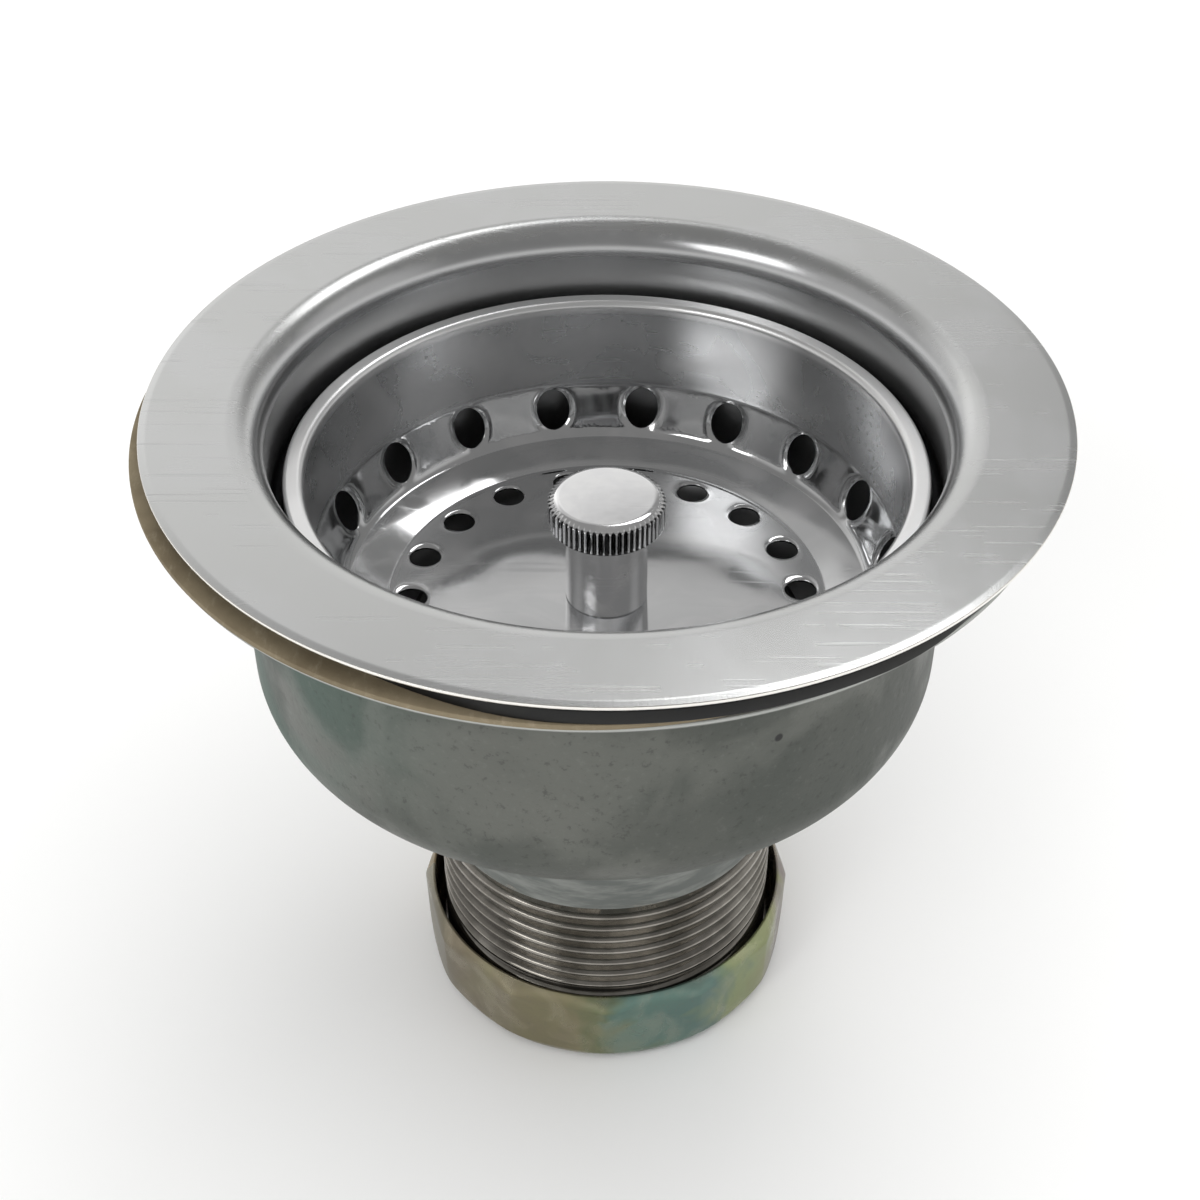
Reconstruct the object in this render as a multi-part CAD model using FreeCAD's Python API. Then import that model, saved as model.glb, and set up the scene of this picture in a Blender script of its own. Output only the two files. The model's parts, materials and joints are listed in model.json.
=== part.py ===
import FreeCAD, Part

import math
import os

from FreeCAD import Vector

# Basket strainer waste for a kitchen sink. Millimetres, +Z up.
# The origin is the centre of the tail's lower end face, and depths are taken down from the flange.

# Overall
overall_height = 95.9
touch_gap = 0.3
slip_gap = 0.1

# Flanged bowl, pressed from sheet
bowl_sheet = 0.6
flange_radius = 57.15
lip_width = 1.4
lip_drop = 0.3
flange_width = 14.75
throat_bend = 4.8
shoulder_depth = 12.2
shoulder_slope = 30.0
shoulder_width = 2.7
bowl_corner = 6.0
soft_bend = 1.5
flare_bend = 0.8
flare_angle = 45.0

# Threaded tail
thread_radius = 23.9
thread_pitch = 2.309
thread_depth = 1.35
thread_turns = 12
thread_first_root = 1.9
root_width = 0.3
crest_width = 0.5
tail_wall = 2.5
tail_flange_width = 6.1
tail_flange_thickness = 2.6
tail_land_length = 7.2
tail_end_bevel = 0.8
land_step = 1.0

# Seal between bowl and tail
seal_thickness = 1.2
seal_margin = 0.6

# Cross bar in the bowl's neck
bar_sheet = 1.2
bar_drop = 0.4
bar_count = 4
bar_width = 5.0
bar_hub_radius = 11.0
bar_hole_radius = 7.0
bar_tab_drop = 2.6
bar_first_angle = 45.0

# Washers under the flange
gasket_thickness = 2.0
gasket_inset = 0.35
gasket_pull = 2.3
gasket_flush_angle = -77.0
gasket_flush_span = 18.0
gasket_pull_span = 32.0
gasket_outline_points = 72
card_thickness = 0.7
card_inset = 0.25

# Cup under the washers, pushed to one side
cup_sheet = 0.7
cup_shift = 1.6
cup_bend = 1.6
cup_room = 2.5
cup_draft = 0.4
cup_rim_inset = 0.55
cup_shoulder_rise = 3.3
cup_corner = 9.0
cup_cone_angle = 43.8
cup_foot_width = 6.6
cup_foot_bend = 1.2

# Backnut near the end of the thread
nut_height = 12.2
nut_below = 1.0
nut_sides = 12
nut_recess_gap = 1.4
nut_wall = 0.9
nut_corner_wall = 1.8
nut_foot_wall = 0.4
nut_hip_wall = 1.1
nut_hip_height = 1.0
nut_side_wall = 1.45
nut_side_height = 4.0
nut_recess_depth = 7.2
nut_top_edge = 0.35
nut_top_bevel = 2.2

# Basket, pressed from sheet
basket_sheet = 0.5
basket_rim_room = 1.66
basket_rim_rise = 2.95
basket_rim_round = 1.3
basket_rim_width = 2.64
basket_wall_taper = 0.1
basket_wall_height = 13.45
basket_cone_angle = 24.0
basket_cone_height = 6.5
basket_dish_width = 6.1
basket_dish_height = 1.8
basket_corner = 2.0
hole_count = 18
hole_first_angle = 2.2
wall_hole_drop = 3.1
wall_hole_width = 4.6
wall_hole_length = 5.8
floor_hole_inset = 3.1
floor_hole_radius = 2.1
drill_length = 9.0

# Knob and post, turned in one piece
knob_rise = 15.85
knob_radius = 7.65
knob_height = 4.15
knob_bevel_width = 1.15
knob_bevel_height = 0.65
knob_under_bevel = 0.4
knurl_count = 58
knurl_height = 0.42
post_radius = 5.4
post_tap_depth = 9.0

# Stopper stack below the basket floor
stud_radius = 3.0
floor_washer_radius = 9.0
floor_washer_thickness = 1.0
sleeve_radius = 5.0
sleeve_length = 3.3
plate_inset = 4.0
plate_sheet = 0.8
plate_lip = 1.2
plate_bend = 1.2
stopper_overlap = 7.3
stopper_body = 3.0
stopper_lip_width = 2.6
stopper_lip_length = 2.0
stopper_lip_slope = 1.0
stopper_bevel = 1.0
clamp_washer_radius = 10.0
clamp_washer_thickness = 1.0

# Stem that locks the basket in the cross bar
stem_radius = 4.5
stem_length = 10.4
stem_nose = 1.6
collar_flats = 11.0
collar_height = 2.0
groove_drop = 7.3
groove_width = 1.2
groove_depth = 0.8
clip_sheet = 0.6
clip_finger_count = 4
clip_finger_width = 2.4
clip_finger_length = 4.8
clip_bulge_gap = 0.6

# Levels above the tail's end face
flange_top = overall_height
flange_under = flange_top - lip_drop - bowl_sheet
shoulder_top = flange_top - shoulder_depth
basket_rim_top = shoulder_top + basket_rim_rise
basket_cone_top = basket_rim_top - basket_wall_height
basket_cone_bottom = basket_cone_top - basket_cone_height
basket_floor = basket_cone_bottom - basket_dish_height
knob_top = basket_floor + knob_rise

# Levels of the stopper stack, from the basket floor down to the bowl's floor and the stem's tip
floor_washer_top = basket_floor - basket_sheet
sleeve_top = floor_washer_top - floor_washer_thickness
plate_top = sleeve_top - sleeve_length
stopper_top = plate_top - plate_sheet
stopper_bottom = stopper_top - stopper_body
stopper_lip_bottom = stopper_bottom - stopper_lip_length
bowl_floor = stopper_lip_bottom - touch_gap
clamp_washer_bottom = stopper_bottom - clamp_washer_thickness
stem_bottom = clamp_washer_bottom - stem_length
post_tap_top = basket_floor + post_tap_depth

# Levels of the tail, the washers and the cross bar
seal_top = bowl_floor - bowl_sheet
tail_top = seal_top - seal_thickness
tail_flange_bottom = tail_top - tail_flange_thickness
land_bottom = tail_top - tail_land_length
gasket_bottom = flange_under - gasket_thickness
card_bottom = gasket_bottom - card_thickness
bar_top = bowl_floor - bar_drop

# Radii of the pressed pieces, from the flange inwards
throat_radius = flange_radius - flange_width
throat_outside = throat_radius + bowl_sheet
bowl_radius = throat_radius - shoulder_width
gasket_radius = flange_radius - gasket_inset
card_radius = flange_radius - card_inset
cup_top_radius = throat_outside + cup_room
cup_wall_radius = cup_top_radius - cup_draft
cup_rim_radius = flange_radius - cup_rim_inset
bend_edge_radius = throat_outside + throat_bend - bowl_sheet
basket_rim_radius = throat_radius - basket_rim_room
basket_wall_radius = basket_rim_radius - basket_rim_width
basket_cone_top_radius = basket_wall_radius - basket_wall_taper
basket_cone_run = basket_cone_height * math.tan(math.radians(basket_cone_angle))
basket_cone_bottom_radius = basket_cone_top_radius - basket_cone_run
basket_floor_radius = basket_cone_bottom_radius - basket_dish_width
floor_hole_circle = basket_floor_radius - floor_hole_inset

# Radii that follow from the thread and the fits
tail_bore = thread_radius - tail_wall
tail_flange_radius = thread_radius + tail_flange_width
land_radius = tail_bore - land_step
neck_radius = land_radius - slip_gap - bowl_sheet
stopper_radius = neck_radius + stopper_overlap
plate_radius = stopper_radius - plate_inset
cup_foot_radius = thread_radius + cup_foot_width
nut_recess_radius = thread_radius + nut_recess_gap
bar_reach = neck_radius - slip_gap
cup_hole_radius = thread_radius + slip_gap + cup_shift
stud_hole_radius = stud_radius + slip_gap
nut_bore_radius = thread_radius + touch_gap


def point(radius, height):
    """A point of a profile in the XZ plane."""
    return Vector(radius, 0, height)


def side_of(start, end):
    """Unit vector to the left of the way from start to end, in the XZ plane."""
    way = (end - start).normalize()
    return Vector(-way.z, 0, way.x)


def turn_at(before, corner, after):
    """Positive where the path turns left at the corner."""
    way_in = corner - before
    way_out = after - corner
    return way_in.x * way_out.z - way_in.z * way_out.x


def moved_sideways(corners, gap):
    """The corner points of a path that runs beside the given one, at a distance to its left."""
    moved = [corners[0] + side_of(corners[0], corners[1]) * gap]
    for before, corner, after in zip(corners, corners[1:], corners[2:]):
        left_in = side_of(before, corner)
        left_out = side_of(corner, after)
        moved.append(corner + (left_in + left_out) * (gap / (1 + left_in.dot(left_out))))
    moved.append(corners[-1] + side_of(corners[-2], corners[-1]) * gap)
    return moved


def bent_path(corners, bends):
    """Edges along the corner points, each inner corner rounded by its bend radius."""
    edges = []
    reached = corners[0]
    for index, bend in enumerate(bends):
        corner = corners[index + 1]
        back = (corners[index] - corner).normalize()
        onward = (corners[index + 2] - corner).normalize()
        half_angle = back.getAngle(onward) / 2
        middle = (back + onward).normalize()
        arc_start = corner + back * (bend / math.tan(half_angle))
        arc_end = corner + onward * (bend / math.tan(half_angle))
        arc_middle = corner + middle * (bend / math.sin(half_angle) - bend)
        edges.append(Part.LineSegment(reached, arc_start).toShape())
        edges.append(Part.Arc(arc_start, arc_middle, arc_end).toShape())
        reached = arc_end
    edges.append(Part.LineSegment(reached, corners[-1]).toShape())
    return edges


def pressed_sheet(corners, bends, sheet):
    """Solid of revolution of one sheet: the path is its seen face, and the sheet lies to its left."""
    far_corners = moved_sideways(corners, sheet)
    far_bends = []
    for index, bend in enumerate(bends):
        inside_bend = turn_at(*corners[index:index + 3]) > 0
        far_bends.append(bend - sheet if inside_bend else bend + sheet)
    edges = bent_path(corners, bends) + bent_path(far_corners, far_bends)
    edges.append(Part.LineSegment(corners[0], far_corners[0]).toShape())
    edges.append(Part.LineSegment(corners[-1], far_corners[-1]).toShape())
    return turned(Part.Wire(Part.__sortEdges__(edges)))


def turned(wire):
    """Solid made by turning a closed profile about the Z axis."""
    return Part.Face(wire).revolve(Vector(0, 0, 0), Vector(0, 0, 1), 360)


def turned_outline(*outline):
    """Solid turned from straight-sided profile points given as (radius, height)."""
    corners = [point(radius, height) for radius, height in outline]
    return turned(Part.makePolygon(corners + [corners[0]]))


def ring(inner_radius, outer_radius, bottom, top):
    """Flat ring with square edges."""
    outer = Part.makeCylinder(outer_radius, top - bottom, Vector(0, 0, bottom))
    return outer.cut(Part.makeCylinder(inner_radius, top - bottom, Vector(0, 0, bottom)))


def prism(sides, corner_radius, bottom, top, inner_radius=None):
    """Upright prism on a regular polygon, or on a star where a second radius is given."""
    radii = [corner_radius] if inner_radius is None else [corner_radius, inner_radius]
    count = sides * len(radii)
    corners = []
    for index in range(count):
        angle = 2 * math.pi * index / count - math.pi / 2
        radius = radii[index % len(radii)]
        corners.append(Vector(radius * math.cos(angle), radius * math.sin(angle), bottom))
    outline = Part.makePolygon(corners + [corners[0]])
    return Part.Face(outline).extrude(Vector(0, 0, top - bottom))


def turned_about_z(shape, degrees):
    """A copy of the shape turned about the Z axis."""
    copy = shape.copy()
    copy.rotate(Vector(0, 0, 0), Vector(0, 0, 1), degrees)
    return copy


def copies_around(shape, count, first_angle=0.0):
    """Evenly spaced copies around the Z axis."""
    return [turned_about_z(shape, first_angle + 360.0 * index / count) for index in range(count)]


def strainer_bowl():
    """Flange, throat, shoulder, bowl and a neck flared under the tail's land, all one pressing."""
    lip_top = flange_top - lip_drop
    shoulder_fall = (throat_radius - bowl_radius) * math.tan(math.radians(shoulder_slope))
    flare_fall = (bowl_sheet + slip_gap) * math.tan(math.radians(flare_angle / 2))
    flare = land_step - flare_fall - slip_gap
    flare_start = land_bottom - flare_fall
    corners = [
        point(flange_radius, lip_top),
        point(flange_radius - lip_width, flange_top),
        point(throat_radius, flange_top),
        point(throat_radius, shoulder_top),
        point(bowl_radius, shoulder_top - shoulder_fall),
        point(bowl_radius, bowl_floor),
        point(neck_radius, bowl_floor),
        point(neck_radius, flare_start),
        point(neck_radius + flare, flare_start - flare),
    ]
    bends = [soft_bend, throat_bend, soft_bend, soft_bend, bowl_corner, soft_bend, flare_bend]
    return pressed_sheet(corners, bends, bowl_sheet)


def thread_grooves():
    """Profile points of the thread's grooves from the top down, each turn drawn as a ring."""
    root_radius = thread_radius - thread_depth
    reach = (thread_pitch - crest_width) / 2
    grooves = []
    for turn in reversed(range(thread_turns)):
        middle = thread_first_root + turn * thread_pitch
        grooves += [
            (thread_radius, middle + reach),
            (root_radius, middle + root_width / 2),
            (root_radius, middle - root_width / 2),
            (thread_radius, middle - reach),
        ]
    return grooves


def threaded_tail():
    """Tail with a top flange, a plain neck and a thread whose turns are drawn as rings."""
    return turned_outline(
        (land_radius, tail_top),
        (tail_flange_radius, tail_top),
        (tail_flange_radius, tail_flange_bottom),
        (thread_radius, tail_flange_bottom),
        *thread_grooves(),
        (thread_radius, tail_end_bevel),
        (thread_radius - tail_end_bevel, 0),
        (tail_bore, 0),
        (tail_bore, land_bottom - land_step),
        (land_radius, land_bottom),
    )


def tail_seal():
    """Soft ring between the bowl and the tail's flange."""
    inner_radius = neck_radius + soft_bend + slip_gap
    return ring(inner_radius, tail_flange_radius - seal_margin, tail_top, seal_top)


def cross_bar():
    """Hub and arms across the neck, with the arm ends turned down against its wall."""
    hub = ring(bar_hole_radius, bar_hub_radius, bar_top - bar_sheet, bar_top)
    arm_start = (bar_hole_radius + bar_hub_radius) / 2
    arm = Part.makeBox(
        bar_reach - arm_start, bar_width, bar_sheet, Vector(arm_start, -bar_width / 2, bar_top - bar_sheet)
    )
    tab_height = bar_tab_drop + bar_sheet
    tab_depth = 2 * bar_sheet
    tab_corner = Vector(bar_reach - tab_depth, -bar_width / 2, bar_top - tab_height)
    tab = Part.makeBox(tab_depth, bar_width, tab_height, tab_corner)
    tab = tab.common(ring(bar_reach - bar_sheet, bar_reach, bar_top - tab_height, bar_top))
    arm = arm.common(Part.makeCylinder(bar_reach, bar_sheet, Vector(0, 0, bar_top - bar_sheet)))
    pieces = copies_around(arm.fuse(tab), bar_count, bar_first_angle)
    return hub.multiFuse(pieces).removeSplitter()


def gasket_reach(angle):
    """Radius of the soft gasket's edge: flush with the flange at the front and drawn in elsewhere."""
    turned_away = abs((angle - gasket_flush_angle + 180) % 360 - 180)
    share = min(max((turned_away - gasket_flush_span) / gasket_pull_span, 0), 1)
    return gasket_radius - gasket_pull * share * share * (3 - 2 * share)


def rubber_gasket():
    """Soft black ring under the flange, a little out of round."""
    edge_points = []
    for index in range(gasket_outline_points):
        angle = 360.0 * index / gasket_outline_points
        reach = gasket_reach(angle)
        turn = math.radians(angle)
        edge_points.append(Vector(reach * math.cos(turn), reach * math.sin(turn), gasket_bottom))
    edge = Part.BSplineCurve()
    edge.interpolate(edge_points, PeriodicFlag=True)
    disc = Part.Face(Part.Wire(edge.toShape())).extrude(Vector(0, 0, gasket_thickness))
    hole_radius = bend_edge_radius + touch_gap
    return disc.cut(Part.makeCylinder(hole_radius, gasket_thickness, Vector(0, 0, gasket_bottom)))


def card_washer():
    """Card friction ring that clears the bend from flange to throat, shifted with the cup."""
    washer = ring(bend_edge_radius + cup_shift + touch_gap, card_radius, card_bottom, gasket_bottom)
    washer.translate(Vector(-cup_shift, 0, 0))
    return washer


def cup():
    """Round cup with a flat rim, a rounded shoulder and a coned bottom around the tail."""
    rim_under = card_bottom - cup_sheet
    shoulder_height = bowl_floor + cup_shoulder_rise
    cone_rise = (cup_wall_radius - cup_foot_radius) * math.tan(math.radians(cup_cone_angle))
    foot_height = shoulder_height - cone_rise
    corners = [
        point(cup_hole_radius, foot_height),
        point(cup_foot_radius, foot_height),
        point(cup_wall_radius, shoulder_height),
        point(cup_top_radius, rim_under),
        point(cup_rim_radius, rim_under),
    ]
    bends = [cup_foot_bend, cup_corner, cup_bend]
    body = pressed_sheet(corners, bends, cup_sheet)
    body.translate(Vector(-cup_shift, 0, 0))
    return body


def backnut():
    """Many-sided pressed nut, bevelled at the top and drawn in at the foot."""
    bottom = nut_below
    top = nut_below + nut_height
    top_edge_radius = nut_recess_radius + nut_top_edge
    outside = turned_outline(
        (nut_bore_radius, bottom),
        (nut_recess_radius + nut_foot_wall, bottom),
        (nut_recess_radius + nut_hip_wall, bottom + nut_hip_height),
        (nut_recess_radius + nut_side_wall, bottom + nut_side_height),
        (nut_recess_radius + nut_corner_wall, top - nut_top_bevel),
        (top_edge_radius, top),
        (nut_recess_radius, top),
        (nut_recess_radius, top - nut_recess_depth),
        (nut_bore_radius, top - nut_recess_depth - (nut_recess_radius - nut_bore_radius)),
    )
    corner_reach = (nut_recess_radius + nut_wall) / math.cos(math.pi / nut_sides)
    return outside.common(prism(nut_sides, corner_reach, bottom, top))


def basket_corners():
    """Corner points of the basket's seen face, from the rim's skirt to the stud hole."""
    shoulder_fall = (throat_radius - basket_rim_radius) * math.tan(math.radians(shoulder_slope))
    skirt_bottom = shoulder_top - shoulder_fall + touch_gap
    return [
        point(basket_rim_radius, skirt_bottom),
        point(basket_rim_radius, basket_rim_top),
        point(basket_wall_radius, basket_rim_top),
        point(basket_cone_top_radius, basket_cone_top),
        point(basket_cone_bottom_radius, basket_cone_bottom),
        point(basket_floor_radius, basket_floor),
        point(stud_hole_radius, basket_floor),
    ]


def basket_shell():
    """Basket with a rolled rim, a coned band of oval holes, and a dished floor with round holes."""
    bends = [basket_rim_round, basket_rim_round, soft_bend, soft_bend, basket_corner]
    shell = pressed_sheet(basket_corners(), bends, basket_sheet)
    floor_drill = Part.makeCylinder(
        floor_hole_radius, drill_length, Vector(floor_hole_circle, 0, basket_floor - drill_length / 2)
    )
    wall_drill = oval_drill(drill_length)
    wall_drill.rotate(Vector(0, 0, 0), Vector(0, 1, 0), basket_cone_angle)
    hole_height = basket_cone_top - wall_hole_drop
    hole_run = wall_hole_drop * math.tan(math.radians(basket_cone_angle))
    wall_drill.translate(point(basket_cone_top_radius - hole_run, hole_height))
    drills = []
    for drill in (floor_drill, wall_drill):
        drills += copies_around(drill, hole_count, hole_first_angle)
    return shell.cut(drills)


def oval_drill(length):
    """Upright oval cylinder lying along X, centred on the origin."""
    oval = Part.Ellipse(Vector(0, 0, 0), wall_hole_length / 2, wall_hole_width / 2).toShape()
    oval.rotate(Vector(0, 0, 0), Vector(0, 1, 0), 90)
    oval.translate(Vector(-length / 2, 0, 0))
    return Part.Face(Part.Wire(oval)).extrude(Vector(length, 0, 0))


def knob_post():
    """Knurled knob and plain post turned from one bar, tapped from below."""
    knob_bottom = knob_top - knob_height
    outline = turned_outline(
        (0, knob_top),
        (knob_radius - knob_bevel_width, knob_top),
        (knob_radius, knob_top - knob_bevel_height),
        (knob_radius, knob_bottom + knob_under_bevel),
        (knob_radius - knob_under_bevel, knob_bottom),
        (post_radius, knob_bottom),
        (post_radius, basket_floor),
        (stud_radius, basket_floor),
        (stud_radius, post_tap_top),
        (0, post_tap_top),
    )
    knurl = prism(knurl_count, knob_radius, basket_floor, knob_top, knob_radius - knurl_height)
    return outline.common(knurl)


def floor_washer():
    """Plain washer under the basket floor."""
    return ring(stud_hole_radius, floor_washer_radius, sleeve_top, floor_washer_top)


def spacer_sleeve():
    """Sleeve that keeps the stopper off the basket's holes."""
    return ring(stud_hole_radius, sleeve_radius, plate_top, sleeve_top)


def stopper_plate():
    """Pressed plate that backs the rubber, its rim turned up."""
    corners = [
        point(stud_hole_radius, stopper_top),
        point(plate_radius, stopper_top),
        point(plate_radius, plate_top + plate_lip),
    ]
    return pressed_sheet(corners, [plate_bend], plate_sheet)


def stopper():
    """Rubber disc with a lip that closes on the bowl's floor."""
    lip_inner = stopper_radius - stopper_lip_width
    return turned_outline(
        (stud_hole_radius, stopper_bottom),
        (lip_inner - stopper_lip_slope, stopper_bottom),
        (lip_inner, stopper_lip_bottom),
        (stopper_radius, stopper_lip_bottom),
        (stopper_radius, stopper_top - stopper_bevel),
        (stopper_radius - stopper_bevel, stopper_top),
        (stud_hole_radius, stopper_top),
    )


def clamp_washer():
    """Washer that presses the rubber against its plate."""
    return ring(stud_hole_radius, clamp_washer_radius, clamp_washer_bottom, stopper_bottom)


def stem():
    """Stud, hexagon collar and grooved pin, one turned piece."""
    collar_bottom = clamp_washer_bottom - collar_height
    groove_top = clamp_washer_bottom - groove_drop
    groove_bottom = groove_top - groove_width
    pin = turned_outline(
        (0, collar_bottom),
        (stem_radius, collar_bottom),
        (stem_radius, groove_top),
        (stem_radius - groove_depth, groove_top),
        (stem_radius - groove_depth, groove_bottom),
        (stem_radius, groove_bottom),
        (stem_radius, stem_bottom + stem_nose),
        (stem_radius - stem_nose, stem_bottom),
        (0, stem_bottom),
    )
    collar = prism(6, collar_flats / 2 / math.cos(math.pi / 6), collar_bottom, clamp_washer_bottom)
    stud_length = post_tap_top - touch_gap - clamp_washer_bottom
    stud = Part.makeCylinder(stud_radius, stud_length, Vector(0, 0, clamp_washer_bottom))
    return pin.multiFuse([collar, stud]).removeSplitter()


def finger_clip():
    """Spring clip in the stem's groove, its bulging fingers drawn pressed in, as they pass the hub."""
    clip_bottom = clamp_washer_bottom - groove_drop - (groove_width + clip_sheet) / 2
    near = stem_radius + slip_gap
    bulge = bar_hole_radius - clip_bulge_gap - clip_sheet
    inside = [
        point(near, clip_bottom),
        point(bulge, clip_bottom + clip_finger_length / 2),
        point(near + clip_sheet / 2, clip_bottom + clip_finger_length),
    ]
    outside = [corner + Vector(clip_sheet, 0, 0) for corner in reversed(inside)]
    outline = Part.makePolygon(inside + outside + [inside[0]])
    finger = Part.Face(outline).extrude(Vector(0, clip_finger_width, 0))
    finger.translate(Vector(0, -clip_finger_width / 2, 0))
    base_bore = stem_radius - groove_depth + slip_gap
    base = ring(base_bore, near + clip_sheet, clip_bottom, clip_bottom + clip_sheet)
    return base.multiFuse(copies_around(finger, clip_finger_count)).removeSplitter()


PIECES = {
    "strainer_bowl": strainer_bowl,
    "threaded_tail": threaded_tail,
    "tail_seal": tail_seal,
    "cross_bar": cross_bar,
    "rubber_gasket": rubber_gasket,
    "card_washer": card_washer,
    "cup": cup,
    "backnut": backnut,
    "basket_shell": basket_shell,
    "knob_post": knob_post,
    "floor_washer": floor_washer,
    "spacer_sleeve": spacer_sleeve,
    "stopper_plate": stopper_plate,
    "stopper": stopper,
    "clamp_washer": clamp_washer,
    "stem": stem,
    "finger_clip": finger_clip,
}

os.makedirs("parts", exist_ok=True)
for name, make in PIECES.items():
    make().exportStep(os.path.join("parts", name + ".step"))
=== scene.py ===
import cmath
import json
import math
from bisect import bisect_left

import bpy
from mathutils import Matrix, Vector


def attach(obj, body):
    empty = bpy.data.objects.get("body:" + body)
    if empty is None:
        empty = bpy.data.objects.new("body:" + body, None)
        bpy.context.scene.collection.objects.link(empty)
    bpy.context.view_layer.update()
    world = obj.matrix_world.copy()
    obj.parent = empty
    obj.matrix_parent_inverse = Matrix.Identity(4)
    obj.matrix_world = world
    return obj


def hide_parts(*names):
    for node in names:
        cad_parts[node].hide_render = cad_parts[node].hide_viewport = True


# Basket strainer waste. Lengths below are millimetres unless a name says otherwise.
# A profile is a list of (point, normal), both complex numbers: radius plus height times i.

MM = 0.001
COLUMNS = 288  # points round a turned surface
CAP_STEPS = 4  # steps round the cut edge of a sheet
EDGE_STEPS = 3  # steps in the small roundings of a solid ring
FINE_STEPS = 12  # steps in the bends of the bowl and the cup
CUP_SHIFT = -1.6  # the cup and the card washer sit a little to the left

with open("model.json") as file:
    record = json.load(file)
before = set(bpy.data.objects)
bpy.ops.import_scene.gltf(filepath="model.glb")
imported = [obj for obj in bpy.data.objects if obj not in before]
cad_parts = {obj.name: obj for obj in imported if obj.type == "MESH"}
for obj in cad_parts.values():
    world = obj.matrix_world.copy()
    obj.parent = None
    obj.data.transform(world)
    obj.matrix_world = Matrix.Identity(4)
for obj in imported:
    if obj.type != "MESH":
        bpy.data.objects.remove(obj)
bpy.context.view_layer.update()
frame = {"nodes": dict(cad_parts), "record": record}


def path_of(corners, bends, steps):
    """Points and left-hand normals along straight runs joined by arcs."""
    corners = [complex(*corner) for corner in corners]
    way = (corners[1] - corners[0]) / abs(corners[1] - corners[0])
    path = [(corners[0], way * 1j)]
    for index, bend in enumerate(bends):
        corner, after = corners[index + 1], corners[index + 2]
        onward = (after - corner) / abs(after - corner)
        turn = cmath.phase(onward / way)
        side = math.copysign(1, turn)
        start = corner - way * bend * math.tan(abs(turn) / 2)
        centre = start + way * 1j * side * bend
        for step in range(steps + 1):
            normal = way * 1j * cmath.rect(1, turn * step / steps)
            path.append((centre - normal * side * bend, normal))
        way = onward
    path.append((corners[-1], way * 1j))
    return path


def cap_of(point, normal, sheet, bulge):
    """Rounded edge of a sheet, from the seen face round to the far one."""
    middle = point + normal * sheet / 2
    way = normal / 1j
    cap = []
    for step in range(CAP_STEPS + 1):
        turn = math.pi * step / CAP_STEPS
        place = middle - normal * math.cos(turn) * sheet / 2 + way * bulge * math.sin(turn)
        slope = -normal * math.cos(turn) * bulge + way * math.sin(turn) * sheet / 2
        cap.append((place, slope / abs(slope)))
    return cap


def pull_in(corners, amount):
    """The same corners with both ends drawn back along their runs."""
    corners = [complex(*corner) for corner in corners]
    first = corners[1] - corners[0]
    last = corners[-2] - corners[-1]
    corners[0] += first / abs(first) * amount
    corners[-1] += last / abs(last) * amount
    return [(corner.real, corner.imag) for corner in corners]


def sheet_profile(corners, bends, sheet, bulge):
    """Closed profile of bent sheet: the corners lie on the seen face, and the sheet is to its left."""
    seen = path_of(pull_in(corners, bulge), bends, FINE_STEPS)
    profile = [(point, -normal) for point, normal in seen]
    profile += cap_of(*seen[-1], sheet, bulge)[1:-1]
    profile += [(point + normal * sheet, normal) for point, normal in reversed(seen)]
    start_point, start_normal = seen[0]
    back_cap = cap_of(start_point + start_normal * sheet, -start_normal, sheet, bulge)
    profile += back_cap[1:-1]
    return profile + profile[:1]


def block_profile(corners, edge):
    """Closed profile of a solid ring, its corners given anticlockwise and rounded a little."""
    first, second = complex(*corners[0]), complex(*corners[1])
    middle = ((first + second) / 2).real, ((first + second) / 2).imag
    path = path_of([middle] + corners[1:] + [corners[0], middle], [edge] * len(corners), EDGE_STEPS)
    return [(point, -normal) for point, normal in path]


def mesh_object(name, vertices, faces, normals=None):
    mesh = bpy.data.meshes.new(name)
    mesh.from_pydata(vertices, [], faces)
    mesh.polygons.foreach_set("use_smooth", [True] * len(mesh.polygons))
    if normals is not None:
        mesh.normals_split_custom_set_from_vertices(normals)
    mesh.update()
    piece = bpy.data.objects.new(name, mesh)
    bpy.context.scene.collection.objects.link(piece)
    return piece


class Surface:
    """Gathers grids of points with their normals and makes one mesh of them."""

    def __init__(self):
        self.vertices, self.normals, self.faces = [], [], []

    def grid(self, points, normals):
        """Adds rows of points, joined along each row and from row to row."""
        first = len(self.vertices)
        rows, columns = len(points), len(points[0])
        self.vertices += [tuple(c * MM for c in point) for row in points for point in row]
        self.normals += [tuple(normal) for row in normals for normal in row]
        a, b, c = (Vector(points[rows // 2][0]), Vector(points[rows // 2][1]), Vector(points[rows // 2 - 1][0]))
        flip = (b - a).cross(c - a).dot(Vector(normals[rows // 2][0])) < 0
        for row in range(rows - 1):
            for column in range(columns):
                after = (column + 1) % columns
                here, there = first + row * columns, first + (row + 1) * columns
                face = (here + column, here + after, there + after, there + column)
                self.faces.append(face if flip else face[::-1])

    def lathe(self, profile, columns=COLUMNS, first_angle=0.0):
        points, normals = [], []
        angles = [first_angle + 2 * math.pi * column / columns for column in range(columns)]
        turns = [(math.cos(angle), math.sin(angle)) for angle in angles]
        for point, normal in profile:
            points.append([(point.real * c, point.real * s, point.imag) for c, s in turns])
            normals.append([(normal.real * c, normal.real * s, normal.imag) for c, s in turns])
        self.grid(points, normals)

    def piece(self, name, body, material, nodes, slot, shift=0.0):
        made = mesh_object(name, self.vertices, self.faces, self.normals)
        made.data.transform(Matrix.Translation((shift * MM, 0, 0)))
        made.data.materials.append(material)
        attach(made, body)
        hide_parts(*nodes)
        return made


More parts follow.
